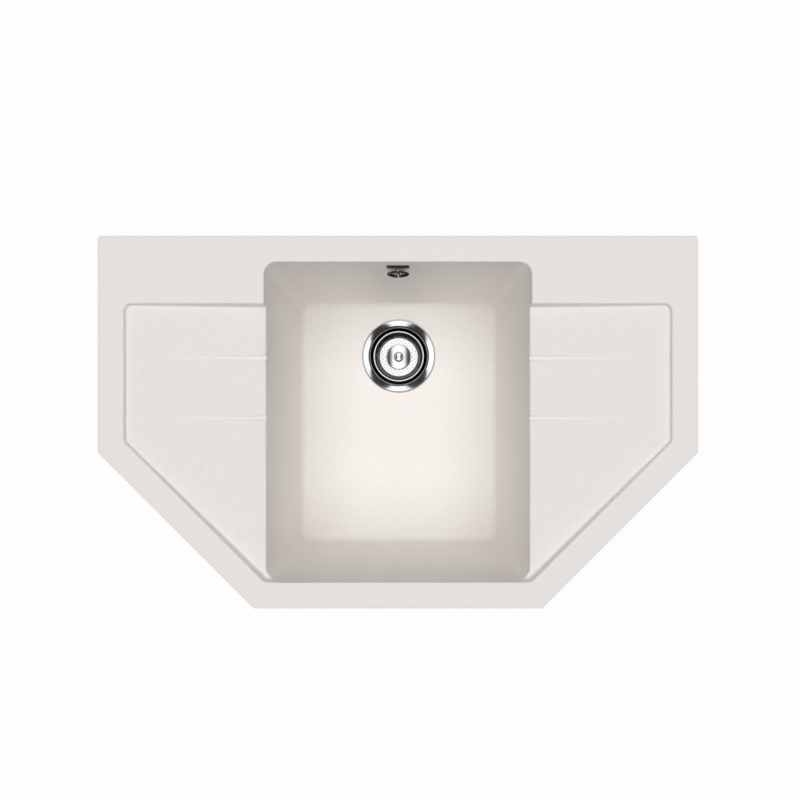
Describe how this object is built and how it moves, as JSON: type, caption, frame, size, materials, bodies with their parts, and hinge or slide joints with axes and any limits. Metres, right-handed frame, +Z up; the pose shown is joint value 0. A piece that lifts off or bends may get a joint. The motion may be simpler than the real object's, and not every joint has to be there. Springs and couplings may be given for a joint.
{
  "type": "kitchen sink with drainboard",
  "caption": "Kitchen sink with a drainer on each side of its central bowl, slanted front corners, basket strainer waste, overflow hose and fixing clips.",
  "frame": {"origin": "middle of the outline, on the underside of the rim, where it lies on the worktop", "axes": "+X to the right along the rear edge, +Y to the rear, where the overflow is, +Z up"},
  "size_m": [0.78, 0.484, 0.2695],
  "materials": {
    "composite": "matt, faintly speckled white stone composite",
    "chrome": "polished chromed steel",
    "steel": "plain stainless steel",
    "zinc": "zinc-plated steel",
    "brass": "turned brass",
    "rubber": "black rubber",
    "plastic": "white polypropylene",
    "hose": "grey ribbed hose",
    "plate": "dark bare metal plate"
  },
  "bodies": {
    "sink": {"sink_body": "composite", "rim_seal": "rubber", "clip_inserts": "brass", "strainer_flange": "chrome", "flange_gasket": "rubber", "waste_gasket": "rubber", "waste_body": "plastic", "bolt_insert": "brass", "centre_bolt": "steel", "overflow_rosette": "chrome", "overflow_screw": "chrome", "overflow_gasket": "rubber", "overflow_elbow": "plastic", "elbow_insert": "brass", "name_plate": "plate", "overflow_hose": "hose", "hose_nut_top": "plastic", "hose_nut_bottom": "plastic", "hose_washer_top": "rubber", "hose_washer_bottom": "rubber"},
    "basket_lifter": {"basket_stem": "steel", "basket_knob": "chrome", "stopper_plate": "steel", "stopper_seal": "rubber", "stem_clip": "steel"},
    "basket_body": {"basket": "chrome"},
    "clip_1_screw": {"clip_screw_1": "zinc"},
    "clip_1_bracket": {"clip_bracket_1": "zinc"},
    "clip_2_screw": {"clip_screw_2": "zinc"},
    "clip_2_bracket": {"clip_bracket_2": "zinc"},
    "clip_3_screw": {"clip_screw_3": "zinc"},
    "clip_3_bracket": {"clip_bracket_3": "zinc"},
    "clip_4_screw": {"clip_screw_4": "zinc"},
    "clip_4_bracket": {"clip_bracket_4": "zinc"},
    "clip_5_screw": {"clip_screw_5": "zinc"},
    "clip_5_bracket": {"clip_bracket_5": "zinc"},
    "clip_6_screw": {"clip_screw_6": "zinc"},
    "clip_6_bracket": {"clip_bracket_6": "zinc"},
    "clip_7_screw": {"clip_screw_7": "zinc"},
    "clip_7_bracket": {"clip_bracket_7": "zinc"},
    "clip_8_screw": {"clip_screw_8": "zinc"},
    "clip_8_bracket": {"clip_bracket_8": "zinc"}
  },
  "joints": [
    {"name": "basket_lift", "type": "slide", "parent": "sink", "child": "basket_lifter", "axis": [0, 0, 1], "range_m": [0, 0.24]},
    {"name": "basket_spin", "type": "hinge", "parent": "basket_lifter", "child": "basket_body", "pos_m": [0, 0.105, -0.2], "axis": [0, 0, 1], "continuous": true},
    {"name": "clip_1_clamp", "type": "slide", "parent": "sink", "child": "clip_1_screw", "axis": [0, 0, 1], "range_m": [-0.012, 0]},
    {"name": "clip_1_swivel", "type": "hinge", "parent": "clip_1_screw", "child": "clip_1_bracket", "pos_m": [0.31, 0.21, 0], "axis": [0, 0, 1], "range_deg": [0, 90]},
    {"name": "clip_2_clamp", "type": "slide", "parent": "sink", "child": "clip_2_screw", "axis": [0, 0, 1], "range_m": [-0.012, 0]},
    {"name": "clip_2_swivel", "type": "hinge", "parent": "clip_2_screw", "child": "clip_2_bracket", "pos_m": [0.358, 0.085, 0], "axis": [0, 0, 1], "range_deg": [0, 90]},
    {"name": "clip_3_clamp", "type": "slide", "parent": "sink", "child": "clip_3_screw", "axis": [0, 0, 1], "range_m": [-0.012, 0]},
    {"name": "clip_3_swivel", "type": "hinge", "parent": "clip_3_screw", "child": "clip_3_bracket", "pos_m": [0.32353, -0.06061, 0], "axis": [0, 0, 1], "range_deg": [0, 90]},
    {"name": "clip_4_clamp", "type": "slide", "parent": "sink", "child": "clip_4_screw", "axis": [0, 0, 1], "range_m": [-0.012, 0]},
    {"name": "clip_4_swivel", "type": "hinge", "parent": "clip_4_screw", "child": "clip_4_bracket", "pos_m": [0.21181, -0.17234, 0], "axis": [0, 0, 1], "range_deg": [0, 90]},
    {"name": "clip_5_clamp", "type": "slide", "parent": "sink", "child": "clip_5_screw", "axis": [0, 0, 1], "range_m": [-0.012, 0]},
    {"name": "clip_5_swivel", "type": "hinge", "parent": "clip_5_screw", "child": "clip_5_bracket", "pos_m": [-0.31, 0.21, 0], "axis": [0, 0, 1], "range_deg": [0, 90]},
    {"name": "clip_6_clamp", "type": "slide", "parent": "sink", "child": "clip_6_screw", "axis": [0, 0, 1], "range_m": [-0.012, 0]},
    {"name": "clip_6_swivel", "type": "hinge", "parent": "clip_6_screw", "child": "clip_6_bracket", "pos_m": [-0.358, 0.085, 0], "axis": [0, 0, 1], "range_deg": [0, 90]},
    {"name": "clip_7_clamp", "type": "slide", "parent": "sink", "child": "clip_7_screw", "axis": [0, 0, 1], "range_m": [-0.012, 0]},
    {"name": "clip_7_swivel", "type": "hinge", "parent": "clip_7_screw", "child": "clip_7_bracket", "pos_m": [-0.32353, -0.06061, 0], "axis": [0, 0, 1], "range_deg": [0, 90]},
    {"name": "clip_8_clamp", "type": "slide", "parent": "sink", "child": "clip_8_screw", "axis": [0, 0, 1], "range_m": [-0.012, 0]},
    {"name": "clip_8_swivel", "type": "hinge", "parent": "clip_8_screw", "child": "clip_8_bracket", "pos_m": [-0.21181, -0.17234, 0], "axis": [0, 0, 1], "range_deg": [0, 90]}
  ]
}
